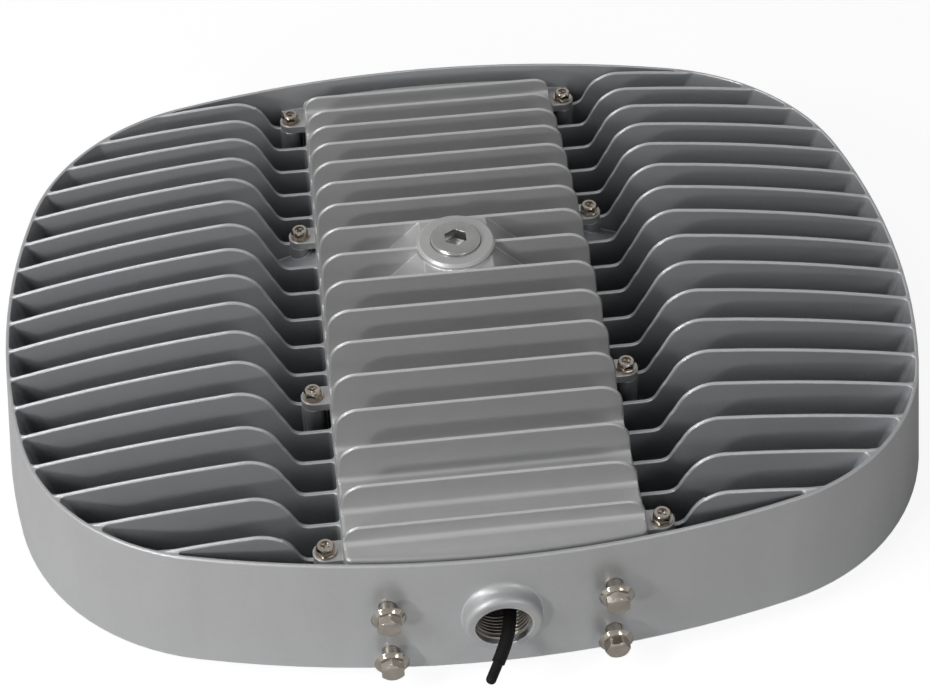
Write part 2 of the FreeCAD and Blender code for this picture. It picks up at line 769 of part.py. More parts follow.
def tube(points, radius):
    # Straight runs joined by tangent arcs, each as large as its two runs allow
    corners = [Vector(*p) for p in points]
    edges = []
    start = corners[0]
    for before, corner, after in zip(corners, corners[1:], corners[2:]):
        shorter = min((before - corner).Length, (after - corner).Length)
        half = (before - corner).getAngle(after - corner) / 2
        arc_radius = cable_arc_share * shorter * math.tan(half)
        arc = round_corner(before, corner, after, arc_radius)
        edges.append(Part.LineSegment(start, arc[0]).toShape())
        edges.append(Part.Arc(*arc).toShape())
        start = arc[2]
        print("cable arc radius", round(arc_radius, 1))
    edges.append(Part.LineSegment(start, corners[-1]).toShape())
    path = Part.Wire(edges)
    normal = corners[1] - corners[0]
    section = Part.Wire(Part.makeCircle(radius, corners[0], normal))
    solid = path.makePipeShell([section], True, False)
    print("cable length", round(path.Length, 1), "volume share",
          round(solid.Volume / (math.pi * radius ** 2 * path.Length), 4))
    return solid


def cable_bushing():
    # Moulded seal that fills the passage behind the thread, with the cable through it
    x, y, z = cable_route[0]
    body = along_y(0, y, -compartment_half_length, hub_z, cable_passage_radius - seal_clearance)
    return body.cut(along_y(x, y, -compartment_half_length, z, cable_radius + cable_clearance))


def cable_end():
    # Thinner end of the cable, past the end of its jacket, with a rounded tip
    start = Vector(*cable_route[-1])
    step = (start - Vector(*cable_route[-2])).normalize() * cable_end_length
    rod = Part.makeCylinder(cable_end_radius, cable_end_length, start, step)
    tip = [e for e in rod.Edges if e.CenterOfMass.sub(start + step).Length < edge_test]
    return rod.makeFillet(cable_end_radius * cable_tip_share, tip)


def supply_cable_inner():
    x, y, z = cable_route[0]
    return along_y(x, y, terminal_y - terminal_width / 2, z, cable_radius)


def terminal_block():
    z1 = base_z + terminal_height
    y0 = terminal_y - terminal_width / 2
    y1 = terminal_y + terminal_width / 2
    half = terminal_length / 2
    body = box(-half, half, y0, y1, base_z, z1)
    step = box(-half, half, y0, y0 + terminal_width / 4, z1 - terminal_height / 4, z1)
    wells = [cylinder(x, y, z1 - terminal_height / 3, z1, small_head_radius + screw_clearance)
             for x, y in terminal_places()]
    return body.cut([step] + wells)


def terminal_places():
    pitch = terminal_length / terminal_ways
    first = (terminal_ways - 1) / 2
    return [((i - first) * pitch, terminal_y + terminal_width / 8) for i in range(terminal_ways)]


def small_screw(x, y, seat, up):
    # Pan head screw; up is 1 where the head is above the shank and -1 where it is below
    head = cylinder(x, y, 0, small_head_height, small_head_radius)
    shank = cylinder(x, y, -small_screw_length + screw_clearance, 0, small_screw_radius)
    screw = head.fuse(shank).removeSplitter()
    if up < 0:
        screw = screw.mirror(Vector(0, 0, 0), Vector(0, 0, 1))
    screw.translate(Vector(0, 0, seat))
    return screw


def led_driver(x):
    y0 = driver_middle_y - driver_length / 2
    y1 = driver_middle_y + driver_length / 2
    half = driver_width / 2
    case = box(x - half, x + half, y0, y1, base_z, base_z + driver_case_height)
    ear_z = base_z + driver_ear_thickness
    ear = box(x - half / 2, x + half / 2, y0 - driver_ear, y1 + driver_ear, base_z, ear_z)
    holes = [cylinder(px, py, base_z, ear_z, small_screw_radius + screw_clearance)
             for px, py in driver_screw_places() if abs(px - x) < half]
    return case.fuse(ear).removeSplitter().cut(holes)


def surge_protector():
    half_x = surge_width / 2
    half_y = surge_length / 2
    block = box(surge_x - half_x, surge_x + half_x, surge_y - half_y, surge_y + half_y,
                base_z, base_z + surge_height)
    return block.makeFillet(surge_width / 8, upright_edges(block))


def lead_grommet(x, y):
    flange = cylinder(x, y, base_z, base_z + small_head_height, lead_hole_radius + small_screw_radius)
    sleeve = cylinder(x, y, base_bottom_z, base_z, lead_hole_radius - seal_clearance)
    bore = cylinder(x, y, base_bottom_z, base_z + small_head_height, lead_hole_radius / 2)
    return flange.fuse(sleeve).removeSplitter().cut(bore)


def plate(x, y, z0, z1, holes):
    half_x = board_length / 2
    half_y = board_width / 2
    body = box(x - half_x, x + half_x, y - half_y, y + half_y, z0, z1)
    cuts = [cylinder(px, py, z0, z1, holes) for px, py in board_screw_places()
            if abs(px - x) < half_x and abs(py - y) < half_y]
    return body.cut(cuts)


def led_places(x, y):
    step_x = board_length / led_columns
    step_y = board_width / led_rows
    first_x = (led_columns - 1) / 2
    first_y = (led_rows - 1) / 2
    return [(x + (i - first_x) * step_x, y + (j - first_y) * step_y)
            for i in range(led_columns) for j in range(led_rows)]


def led_package(x, y, z0, z1):
    half = led_size / 2
    return box(x - half, x + half, y - half, y + half, z0, z1)


def lens_frame():
    outer = skirt_flare - frame_inset
    wall = oval_ring(outer, outer - frame_wall, 0, frame_height)
    lip = oval_ring(outer - frame_wall / 2, opening_grow, 0, frame_lip)
    body = wall.fuse(lip).removeSplitter()
    half = frame_height / 2
    cuts = []
    for x, y in frame_screw_places():
        cuts.append(cylinder(x, y, 0, half, washer_radius - screw_clearance))
        cuts.append(cylinder(x, y, half, frame_height, cover_screw_radius + screw_clearance))
    return body.cut(cuts)


def lens_frame_screw(x, y):
    half = frame_height / 2
    head = cylinder(x, y, half - cover_head_height, half, washer_radius - 4 * screw_clearance)
    socket = hexagon(x, y, half - cover_head_height, half - cover_head_height / 3, cover_head_flats / 2)
    shank = cylinder(x, y, half, half + cover_screw_length - screw_clearance, cover_screw_radius)
    return head.fuse(shank).removeSplitter().cut(socket)


os.makedirs("parts", exist_ok=True)
save("heat_sink_housing", [heat_sink_housing()])
save("driver_cover", [driver_cover()])
save("cover_gasket", [gasket_ring(0)])
save("cover_screws", [cover_screw(x, y) for x, y in cover_screw_places()])
save("cover_washers", [cover_washer(x, y) for x, y in cover_screw_places()])
save("port_plug", [port_plug()])
save("plug_seal", [plug_seal()])
for place, bolt_place_x, bolt_wall_y, bolt_z in bolt_places():
    bolt = bracket_bolt(bolt_place_x, bolt_wall_y, bolt_z, bolt_turns_deg[place])
    save("bracket_bolt_" + place, [bolt])
save("supply_cable", [tube(cable_route, cable_radius)])
save("cable_end", [cable_end()])
save("supply_cable_inner", [supply_cable_inner()])
save("cable_bushing", [cable_bushing()])
save("terminal_block", [terminal_block()])
well_z = base_z + terminal_height * 2 / 3
save("terminal_screws", [cylinder(x, y, well_z, well_z + small_head_height, small_head_radius)
                         for x, y in terminal_places()])
save("ground_screw", [small_screw(ground_screw_x, ground_screw_y, base_z, 1)])
for side, driver_x in driver_places():
    save("led_driver_" + ("left" if side < 0 else "right"), [led_driver(driver_x)])
save("driver_screws", [small_screw(x, y, base_z + driver_ear_thickness, 1) for x, y in driver_screw_places()])
save("surge_protector", [surge_protector()])
save("lead_grommets", [lead_grommet(x, y) for x, y in lead_places()])

pad_bottom_z = base_bottom_z - pad_thickness
board_bottom_z = pad_bottom_z - board_thickness
led_bottom_z = board_bottom_z - led_height
optic_top_z = led_bottom_z
hole_radius = small_screw_radius + screw_clearance
save("thermal_pads", [plate(x, y, pad_bottom_z, base_bottom_z, hole_radius) for x, y in board_places()])
save("led_boards", [plate(x, y, board_bottom_z, pad_bottom_z, hole_radius) for x, y in board_places()])
save("led_packages", [led_package(x, y, led_bottom_z, board_bottom_z)
                      for bx, by in board_places() for x, y in led_places(bx, by)])
save("board_screws", [small_screw(x, y, board_bottom_z, -1) for x, y in board_screw_places()])
optic_bottom_z = optic_top_z - optic_thickness
head_hole_radius = small_head_radius + 2 * screw_clearance
save("optic_plates", [plate(x, y, optic_bottom_z, optic_top_z, head_hole_radius) for x, y in board_places()])
save("lens_gasket", [oval_ring(glass_grow, opening_grow, glass_top_z, skirt_z)])
save("lens_glass", [oval_prism(glass_grow, glass_bottom_z, glass_top_z)])
save("lens_cushion", [oval_ring(glass_grow, opening_grow, frame_lip, glass_bottom_z)])
save("lens_frame", [lens_frame()])
save("lens_frame_screws", [lens_frame_screw(x, y) for x, y in frame_screw_places()])
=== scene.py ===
import math

import bmesh
import bpy
from mathutils import Matrix, Vector


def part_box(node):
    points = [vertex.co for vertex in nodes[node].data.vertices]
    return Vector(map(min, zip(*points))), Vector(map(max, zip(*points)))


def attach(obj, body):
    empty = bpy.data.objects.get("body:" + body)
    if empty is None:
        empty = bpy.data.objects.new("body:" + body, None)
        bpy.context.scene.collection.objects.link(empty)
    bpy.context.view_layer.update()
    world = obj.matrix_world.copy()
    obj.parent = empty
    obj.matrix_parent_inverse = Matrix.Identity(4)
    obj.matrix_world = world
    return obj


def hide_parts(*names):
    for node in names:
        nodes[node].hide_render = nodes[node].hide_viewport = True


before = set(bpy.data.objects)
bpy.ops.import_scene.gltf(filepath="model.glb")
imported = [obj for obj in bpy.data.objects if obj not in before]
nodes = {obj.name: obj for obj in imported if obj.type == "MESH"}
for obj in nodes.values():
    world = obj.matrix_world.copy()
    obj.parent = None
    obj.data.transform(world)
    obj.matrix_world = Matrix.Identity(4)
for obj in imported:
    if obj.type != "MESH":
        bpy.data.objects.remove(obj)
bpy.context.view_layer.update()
lightBody = "flood_light"
mm = 0.001
print("frame loaded,", len(nodes), "CAD nodes")


class Field:
    # A socket in a shader or geometry tree; sums and products of fields add Math nodes
    def __init__(self, tree, socket=None):
        self.tree = tree
        self.socket = socket

    def node(self, kind, settings=None, values=None, out=0):
        made = self.tree.nodes.new(kind)
        for name, value in (settings or {}).items():
            setattr(made, name, value)
        for name, value in (values or {}).items():
            if isinstance(value, list):
                for part in value:
                    self.tree.links.new(part.socket, made.inputs[name])
            elif isinstance(value, Field):
                self.tree.links.new(value.socket, made.inputs[name])
            else:
                made.inputs[name].default_value = value
        return Field(self.tree, made.outputs[out])

    def math(self, operation, *others):
        return self.node("ShaderNodeMath", {"operation": operation}, dict(enumerate((self,) + others)))

    def swapped(self, operation, other):
        return self.node("ShaderNodeMath", {"operation": operation}, {0: other, 1: self})

    def clamped(self):
        return self.math("MAXIMUM", 0.0).math("MINIMUM", 1.0)

    def __add__(self, other): return self.math("ADD", other)
    def __radd__(self, other): return self.math("ADD", other)
    def __sub__(self, other): return self.math("SUBTRACT", other)
    def __rsub__(self, other): return self.swapped("SUBTRACT", other)
    def __mul__(self, other): return self.math("MULTIPLY", other)
    def __rmul__(self, other): return self.math("MULTIPLY", other)
    def __truediv__(self, other): return self.math("DIVIDE", other)
    def __rtruediv__(self, other): return self.swapped("DIVIDE", other)


# Finishes

def newFinish(name, settings):
    finish = bpy.data.materials.new(name)
    finish.use_nodes = True
    tree = finish.node_tree
    shader = tree.nodes["Principled BSDF"]
    for socket, value in settings.items():
        shader.inputs[socket].default_value = value
    return finish, Field(tree), shader


def feed(field, shader, socket, value):
    field.tree.links.new(value.socket, shader.inputs[socket])


def grey(value, warm=0.0):
    return (value * (1 + warm), value, value * (1 - warm), 1)


def blendColours(field, share, first, second):
    return field.node("ShaderNodeMix", {"data_type": "RGBA"}, {0: share, 6: first, 7: second}, out=2)


def noise(field, place, scale, detail):
    return field.node("ShaderNodeTexNoise", {}, {"Vector": place, "Scale": scale, "Detail": detail})


def bumped(field, height, strength, reach, **others):
    values = {"Height": height, "Strength": strength, "Distance": reach, **others}
    return field.node("ShaderNodeBump", {}, values)


castGrain = {"cloudScale": 14.0, "dragStretch": (60.0, 60.0, 6.0), "speckScale": 380.0, "skinScale": 1500.0,
             "cloudTone": 0.5, "dragTone": 0.3, "speckTone": 0.2,
             "cloudRough": 0.10, "speckRough": 0.06, "edgeRough": 0.08,
             "speckHeight": 0.5, "bump": 0.2, "bumpReach": 0.0002, "probeSamples": 4}


def castFinish(name, look):
    # Satin casting: cloudy tone, fine blasted skin, a painted cooler shade in sheltered places, painted dark
    # shade in deep hollows, and a painted highlight along the edges
    grain = castGrain
    probes = {"samples": grain["probeSamples"]}
    finish, field, shader = newFinish(name, {"Metallic": look["metallic"]})
    place = field.node("ShaderNodeTexCoord", out="Object")
    cloud = noise(field, place, grain["cloudScale"], detail=4.0)
    streak = field.node("ShaderNodeMapping", {}, {"Vector": place, "Scale": grain["dragStretch"]})
    drag = noise(field, streak, scale=1.0, detail=3.0)
    skin = noise(field, place, grain["skinScale"], detail=2.0)
    speck = noise(field, place, grain["speckScale"], detail=3.0)
    surface = field.node("ShaderNodeNewGeometry", out="Normal")
    softened = field.node("ShaderNodeBevel", probes, {"Radius": look["edgeReach"] * mm})
    along = field.node("ShaderNodeVectorMath", {"operation": "DOT_PRODUCT"}, {0: surface, 1: softened}, out=1)
    # Mask of the painted highlight: near edges, where the bevel-rounded normal turns away from the true one
    edge = ((1 - along) * look["highlightGain"]).math("MINIMUM", 1.0)
    # Openness from the occlusion probe drives the painted shade below
    reach = {"Distance": look["shadeReach"] * mm}
    openness = field.node("ShaderNodeAmbientOcclusion", probes, reach, out="AO")
    # Mask of the painted dark shade in deep hollows, where openness is low
    hollow = ((look["shadeStart"] - openness) * look["shadeGain"]).clamped()
    mottle = cloud * grain["cloudTone"] + drag * grain["dragTone"] + speck * grain["speckTone"]
    tone = blendColours(field, mottle, look["light"], look["dark"])
    # Painted cooler shade where the surface is sheltered
    tone = blendColours(field, 1 - openness, tone, look["paintedShadeTint"])
    # Painted dark shade in deep hollows
    tone = blendColours(field, hollow, tone, look["hollow"])
    # Lays the painted highlight colour along the edges
    feed(field, shader, "Base Color", blendColours(field, edge, tone, look["edge"]))
    rough = look["roughness"] + grain["cloudRough"] * cloud + grain["speckRough"] * speck
    feed(field, shader, "Roughness", rough - grain["edgeRough"] * edge)
    height = skin + grain["speckHeight"] * speck
    feed(field, shader, "Normal", bumped(field, height, grain["bump"], grain["bumpReach"], Normal=softened))
    return finish


# Reaches are in mm
# The edge colour is a painted highlight, the sheltered colour a painted cooler shade and the hollow colour a
# painted dark shade
castLook = {"light": grey(0.60), "dark": grey(0.42), "metallic": 0.40, "roughness": 0.30,
            "edge": (0.93, 0.96, 1.0, 1), "edgeReach": 1.1, "highlightGain": 8.0,
            "paintedShadeTint": (0.56, 0.585, 0.612, 1),
            "hollow": grey(0.02), "shadeReach": 40.0, "shadeStart": 0.25, "shadeGain": 9.0}
# Here too the edge colour is a painted highlight and the sheltered and hollow colours are painted shade
coverLook = {"light": (0.65, 0.65, 0.645, 1), "dark": (0.46, 0.46, 0.455, 1),
             "metallic": 0.40, "roughness": 0.30,
             "edge": grey(0.92), "edgeReach": 0.9, "highlightGain": 9.0,
             "paintedShadeTint": (0.57, 0.575, 0.58, 1),
             "hollow": grey(0.2), "shadeReach": 20.0, "shadeStart": 0.10, "shadeGain": 8.0}
castAluminium = castFinish("castAluminium", castLook)
coverAluminium = castFinish("coverAluminium", coverLook)


platedGrain = {"cloudScale": 140.0, "fineScale": 2600.0, "bumpReach": 0.0001}


def platedFinish(name, look):
    # Bare or plated metal with cloudy wear
    finish, field, shader = newFinish(name, {"Metallic": 1.0})
    place = field.node("ShaderNodeTexCoord", out="Object")
    cloud = noise(field, place, platedGrain["cloudScale"], detail=3.0)
    fine = noise(field, place, platedGrain["fineScale"], detail=2.0)
    feed(field, shader, "Base Color", blendColours(field, cloud, look["light"], look["dark"]))
    feed(field, shader, "Roughness", look["roughness"] + look["roughSpread"] * cloud)
    feed(field, shader, "Normal", bumped(field, fine, look["bump"], platedGrain["bumpReach"]))
    return finish


nickelLook = {"light": (0.56, 0.51, 0.45, 1), "dark": (0.27, 0.24, 0.205, 1),
              "roughness": 0.05, "roughSpread": 0.10, "bump": 0.08}
plugLook = {"light": (0.44, 0.44, 0.435, 1), "dark": (0.34, 0.34, 0.335, 1),
            "roughness": 0.18, "roughSpread": 0.10, "bump": 0.15}
brassLook = {"light": (0.72, 0.55, 0.24, 1), "dark": (0.55, 0.40, 0.16, 1),
             "roughness": 0.28, "roughSpread": 0.14, "bump": 0.08}
threadLook = {"light": (0.32, 0.29, 0.255, 1), "dark": (0.19, 0.17, 0.145, 1),
              "roughness": 0.24, "roughSpread": 0.14, "bump": 0.05}
nickelPlate = platedFinish("nickelPlate", nickelLook)
plugSteel = platedFinish("plugSteel", plugLook)
groundBrass = platedFinish("groundBrass", brassLook)
cutThread = platedFinish("cutThread", threadLook)


mouldedGrain = {"cloudScale": 60.0, "cloudRough": 0.15, "bumpReach": 0.0001}


def mouldedFinish(name, look):
    # Rubber, plastic, paint and other moulded or coated surfaces
    finish, field, shader = newFinish(name, {"Metallic": 0.0, "Specular IOR Level": look["specular"]})
    place = field.node("ShaderNodeTexCoord", out="Object")
    grain = noise(field, place, look["grain"], detail=3.0)
    cloud = noise(field, place, mouldedGrain["cloudScale"], detail=2.0)
    feed(field, shader, "Base Color", blendColours(field, cloud, look["light"], look["dark"]))
    feed(field, shader, "Roughness", look["roughness"] + mouldedGrain["cloudRough"] * cloud)
    feed(field, shader, "Normal", bumped(field, grain, look["bump"], mouldedGrain["bumpReach"]))
    return finish


rubberLook = {"light": grey(0.035), "dark": grey(0.022),
              "specular": 0.3, "roughness": 0.62, "grain": 1800.0, "bump": 0.3}
jacketLook = {"light": grey(0.006), "dark": grey(0.003),
              "specular": 0.22, "roughness": 0.55, "grain": 1700.0, "bump": 0.8}
blackLook = {"light": grey(0.045), "dark": grey(0.030),
             "specular": 0.4, "roughness": 0.50, "grain": 1500.0, "bump": 0.2}
caseLook = {"light": grey(0.70), "dark": grey(0.62),
            "specular": 0.5, "roughness": 0.42, "grain": 900.0, "bump": 0.1}
padLook = {"light": (0.40, 0.43, 0.50, 1), "dark": (0.34, 0.37, 0.44, 1),
           "specular": 0.3, "roughness": 0.7, "grain": 700.0, "bump": 0.3}
maskLook = {"light": grey(0.82, 0.01), "dark": grey(0.76, 0.01),
            "specular": 0.5, "roughness": 0.35, "grain": 1200.0, "bump": 0.08}
phosphorLook = {"light": (0.90, 0.74, 0.22, 1), "dark": (0.82, 0.64, 0.16, 1),
                "specular": 0.5, "roughness": 0.3, "grain": 3000.0, "bump": 0.1}
gasketRubber = mouldedFinish("gasketRubber", rubberLook)
cableJacket = mouldedFinish("cableJacket", jacketLook)
blackMoulding = mouldedFinish("blackMoulding", blackLook)
driverCase = mouldedFinish("driverCase", caseLook)
padSilicone = mouldedFinish("padSilicone", padLook)
solderMask = mouldedFinish("solderMask", maskLook)
ledPhosphor = mouldedFinish("ledPhosphor", phosphorLook)


clearFilm = {"ior": 1.5, "scale": 40.0, "rough": 0.03}


def clearFinish(name, look):
    settings = {"IOR": clearFilm["ior"], "Transmission Weight": 1.0, "Base Color": look["tint"]}
    finish, field, shader = newFinish(name, settings)
    place = field.node("ShaderNodeTexCoord", out="Object")
    film = noise(field, place, clearFilm["scale"], detail=3.0)
    feed(field, shader, "Roughness", look["roughness"] + clearFilm["rough"] * film)
    return finish


lensGlass = clearFinish("lensGlass", {"tint": (0.93, 0.97, 0.95, 1), "roughness": 0.02})
opticAcrylic = clearFinish("opticAcrylic", {"tint": (0.97, 0.98, 0.98, 1), "roughness": 0.05})
print("finishes made")


# CAD pieces that keep their own mesh

def dress(shape, finish):
    shape.materials.clear()
    shape.materials.append(finish)


plainFinishes = {
    "heat_sink_housing": castAluminium, "driver_cover": coverAluminium, "lens_frame": castAluminium,
    "cover_gasket": gasketRubber, "cover_washers": nickelPlate, "plug_seal": gasketRubber,
    "supply_cable_inner": cableJacket, "cable_end": cableJacket, "cable_bushing": gasketRubber,
    "terminal_block": blackMoulding, "terminal_screws": nickelPlate, "ground_screw": groundBrass,
    "led_driver_left": driverCase, "led_driver_right": driverCase, "driver_screws": nickelPlate,
    "surge_protector": blackMoulding, "lead_grommets": gasketRubber, "thermal_pads": padSilicone,
    "led_boards": solderMask, "led_packages": ledPhosphor, "board_screws": nickelPlate,
    "optic_plates": opticAcrylic, "lens_gasket": gasketRubber, "lens_glass": lensGlass,
    "lens_cushion": gasketRubber, "lens_frame_screws": nickelPlate,
}
for node, finish in plainFinishes.items():
    dress(nodes[node].data, finish)
print("CAD pieces dressed")


# Helpers for pieces that are made here

def linked(name, shape, finish=None):
    piece = bpy.data.objects.new(name, shape)
    bpy.context.scene.collection.objects.link(piece)
    if finish:
        dress(shape, finish)
    return piece


def bakeModifiers(piece):
    bpy.context.view_layer.update()
    graph = bpy.context.evaluated_depsgraph_get()
    mesh = bpy.data.meshes.new_from_object(piece.evaluated_get(graph))
    piece.modifiers.clear()
    piece.data = mesh
    return piece


meshLimits = {"weld": 2e-6, "flatWithin": math.radians(0.6), "roundFrom": math.radians(30),
              "smoothBelow": math.radians(40), "roundSteps": 2}


def smoothFaces(piece):
    piece.data.polygons.foreach_set("use_smooth", [True] * len(piece.data.polygons))


def roundEdges(piece, width):
    bevel = piece.modifiers.new("roundedEdges", "BEVEL")
    bevel.width = width * mm
    bevel.segments = meshLimits["roundSteps"]
    bevel.limit_method = "ANGLE"
    bevel.angle_limit = meshLimits["roundFrom"]
    bakeModifiers(piece)
    smoothFaces(piece)
    piece.data.set_sharp_from_angle(angle=meshLimits["smoothBelow"])
    return piece


def weldedWork(mesh):
    work = bmesh.new()
    work.from_mesh(mesh)
    bmesh.ops.remove_doubles(work, verts=work.verts, dist=meshLimits["weld"])
    return work


def mergedCopy(node):
    # Copy of a CAD mesh with its flat faces joined, so that edges can be rounded
    mesh = nodes[node].data.copy()
    if mesh.has_custom_normals:
        mesh.attributes.remove(mesh.attributes["custom_normal"])
    work = weldedWork(mesh)
    bmesh.ops.dissolve_limit(work, angle_limit=meshLimits["flatWithin"], verts=work.verts, edges=work.edges)
    work.to_mesh(mesh)
    work.free()
    return mesh


def islandMiddles(node):
    # Middle of each separate solid of a CAD node, in metres
    work = weldedWork(nodes[node].data)
    left = set(work.verts)
    middles = []
    while left:
        island = [left.pop()]
        for vert in island:
            for edge in vert.link_edges:
                other = edge.other_vert(vert)
                if other in left:
                    left.remove(other)
                    island.append(other)
        low = [min(v.co[i] for v in island) for i in range(3)]
        high = [max(v.co[i] for v in island) for i in range(3)]
        middles.append(tuple((a + b) / 2 for a, b in zip(low, high)))
    work.free()
    return sorted(middles)


def startTree(name, sizes):
    # New geometry tree with an input for each size; gives the tree as a field and its inputs by name
    tree = bpy.data.node_groups.new(name, "GeometryNodeTree")
    tree.interface.new_socket("Geometry", in_out="INPUT", socket_type="NodeSocketGeometry")
    for size, value in sizes.items():
        kind = "NodeSocketInt" if isinstance(value, int) else "NodeSocketFloat"
        tree.interface.new_socket(size, in_out="INPUT", socket_type=kind)
    tree.interface.new_socket("Finish", in_out="INPUT", socket_type="NodeSocketMaterial")
    tree.interface.new_socket("Geometry", in_out="OUTPUT", socket_type="NodeSocketGeometry")
    entry = tree.nodes.new("NodeGroupInput")
    given = {socket.name: Field(tree, socket) for socket in entry.outputs if socket.name}
    return Field(tree), given


def endTree(field, given, shape):
    whole = field.node("GeometryNodeRealizeInstances", {}, {"Geometry": shape})
    dressed = field.node("GeometryNodeSetMaterial", {}, {"Geometry": whole, "Material": given["Finish"]})
    leave = field.tree.nodes.new("NodeGroupOutput")
    field.tree.links.new(dressed.socket, leave.inputs["Geometry"])
    return field.tree


def grownPiece(name, tree, sizes, finish, points=((0, 0, 0),)):
    # Piece whose mesh a geometry tree makes from its points
    mesh = bpy.data.meshes.new(name)
    mesh.from_pydata(list(points), [], [])
    piece = linked(name, mesh)
    modifier = piece.modifiers.new(name, "NODES")
    modifier.node_group = tree
    sockets = {item.name: item.identifier for item in tree.interface.items_tree if item.in_out == "INPUT"}
    for size, value in sizes.items():
        modifier[sockets[size]] = value
    modifier[sockets["Finish"]] = finish
    return bakeModifiers(piece)


def moved(field, shape, z=0.0, **others):
    offset = field.node("ShaderNodeCombineXYZ", {}, {"Z": z})
    return field.node("GeometryNodeTransform", {}, {"Geometry": shape, "Translation": offset, **others})


# Cover screws: indented hex heads with a cross recess

coverScrew = {
    "edgeWidth": 0.25,  # mm
    "sizes": {  # metres, and inputs of the tree
        "headFlats": 0.0080, "headHeight": 0.0036, "hollowRadius": 0.0024, "hollowDepth": 0.0010,
        "slotLength": 0.0042, "slotWidth": 0.0010, "slotDepth": 0.0022, "shankRadius": 0.0025,
        "shankLength": 0.0129, "crownFoot": 0.72, "crownTop": 0.46, "crownSides": 40, "hollowSides": 28,
        "shankSides": 20, "mostTurn": 6.28, "turnSeed": 4,
    },
}


def coverScrewTree(sizes):
    field, given = startTree("coverScrew", sizes)
    height = given["headHeight"]
    head = field.node("GeometryNodeMeshCylinder", {"fill_type": "NGON"},
                      {"Vertices": 6, "Radius": given["headFlats"] / math.sqrt(3), "Depth": height})
    foot, top = given["headFlats"] * given["crownFoot"], given["headFlats"] * given["crownTop"]
    crown = field.node("GeometryNodeMeshCone", {"fill_type": "NGON"},
                       {"Vertices": given["crownSides"], "Radius Bottom": foot, "Radius Top": top,
                        "Depth": height})
    crown = moved(field, crown, z=height * -0.5)
    head = field.node("GeometryNodeMeshBoolean", {"operation": "INTERSECT", "solver": "EXACT"},
                      {"Mesh 2": [head, crown]})
    hollow = field.node("GeometryNodeMeshCylinder", {"fill_type": "NGON"},
                        {"Vertices": given["hollowSides"], "Radius": given["hollowRadius"],
                         "Depth": given["hollowDepth"] * 2})
    cuts = [moved(field, hollow, z=height * 0.5)]
    deep = given["slotDepth"] * 2
    for length, width in (("slotLength", "slotWidth"), ("slotWidth", "slotLength")):
        size = field.node("ShaderNodeCombineXYZ", {}, {"X": given[length], "Y": given[width], "Z": deep})
        slot = field.node("GeometryNodeMeshCube", {}, {"Size": size})
        cuts.append(moved(field, slot, z=height * 0.5))
    head = field.node("GeometryNodeMeshBoolean", {"operation": "DIFFERENCE", "solver": "EXACT"},
                      {"Mesh 1": head, "Mesh 2": cuts})
    shank = field.node("GeometryNodeMeshCylinder", {"fill_type": "NGON"},
                       {"Vertices": given["shankSides"], "Radius": given["shankRadius"],
                        "Depth": given["shankLength"]})
    shank = moved(field, shank, z=(height + given["shankLength"]) * -0.5)
    screw = field.node("GeometryNodeJoinGeometry", {}, {"Geometry": [head, shank]})
    turn = field.node("FunctionNodeRandomValue", {"data_type": "FLOAT"},
                      {2: 0.0, 3: given["mostTurn"], "Seed": given["turnSeed"]}, out=1)
    spin = field.node("ShaderNodeCombineXYZ", {}, {"Z": turn})
    spread = field.node("GeometryNodeInstanceOnPoints", {},
                        {"Points": given["Geometry"], "Instance": screw, "Rotation": spin})
    return endTree(field, given, spread)


screwSizes = coverScrew["sizes"]
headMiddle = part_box("cover_screws")[1][2] - screwSizes["headHeight"] / 2
seatedHeads = [(x, y, headMiddle) for x, y, _ in islandMiddles("cover_screws")]
coverScrews = grownPiece("coverScrews", coverScrewTree(screwSizes), screwSizes, nickelPlate, seatedHeads)
roundEdges(coverScrews, coverScrew["edgeWidth"])
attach(coverScrews, lightBody)
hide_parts("cover_screws")
print("cover screws", len(coverScrews.data.polygons), "faces")


# Pipe thread in the conduit hub

hubThread = {"turns": 8, "stepsEachTurn": 60, "flankSteps": 9, "pitch": 0.001814, "rootRadius": 0.01325,
             "depth": 0.00135, "crestGain": 1.25, "lead": 0.0016, "axisHeight": 0.0385, "face": -0.19344,
             "weld": 0.00002}  # metres


def hubThreadTree(sizes):
    field, given = startTree("hubThread", sizes)
    columns = given["turns"] * given["stepsEachTurn"] + 1
    sheet = field.node("GeometryNodeMeshGrid", {}, {"Size X": 1.0, "Size Y": 1.0, "Vertices X": columns,
                                                    "Vertices Y": given["flankSteps"]})
    place = field.node("GeometryNodeInputPosition")
    across = field.node("ShaderNodeSeparateXYZ", {}, {0: place}, out="X") + 0.5
    over = field.node("ShaderNodeSeparateXYZ", {}, {0: place}, out="Y") + 0.5
    turned = across * given["turns"]
    ridge = ((1 - (over * 2 - 1).math("ABSOLUTE")) * given["crestGain"]).math("MINIMUM", 1.0)
    fromEnds = turned.math("MINIMUM", given["turns"] - turned).math("MINIMUM", 1.0)
    radius = given["rootRadius"] - given["depth"] * ridge * fromEnds
    angle = turned * (2 * math.pi)
    inward = (turned + over) * given["pitch"] + given["lead"] + given["face"]
    spot = field.node("ShaderNodeCombineXYZ", {}, {"X": radius * angle.math("COSINE"), "Y": inward,
                                                   "Z": radius * angle.math("SINE") + given["axisHeight"]})
    helix = field.node("GeometryNodeSetPosition", {}, {"Geometry": sheet, "Position": spot})
    helix = field.node("GeometryNodeMergeByDistance", {}, {"Geometry": helix, "Distance": given["weld"]})
    return endTree(field, given, helix)


threadedBore = grownPiece("threadedBore", hubThreadTree(hubThread), hubThread, cutThread)
smoothFaces(threadedBore)
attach(threadedBore, lightBody)
print("hub thread", len(threadedBore.data.polygons), "faces")


# Lens domes over the light sources

ledDome = {"radius": 0.0062, "height": 0.0034, "segments": 16, "rings": 8}  # metres


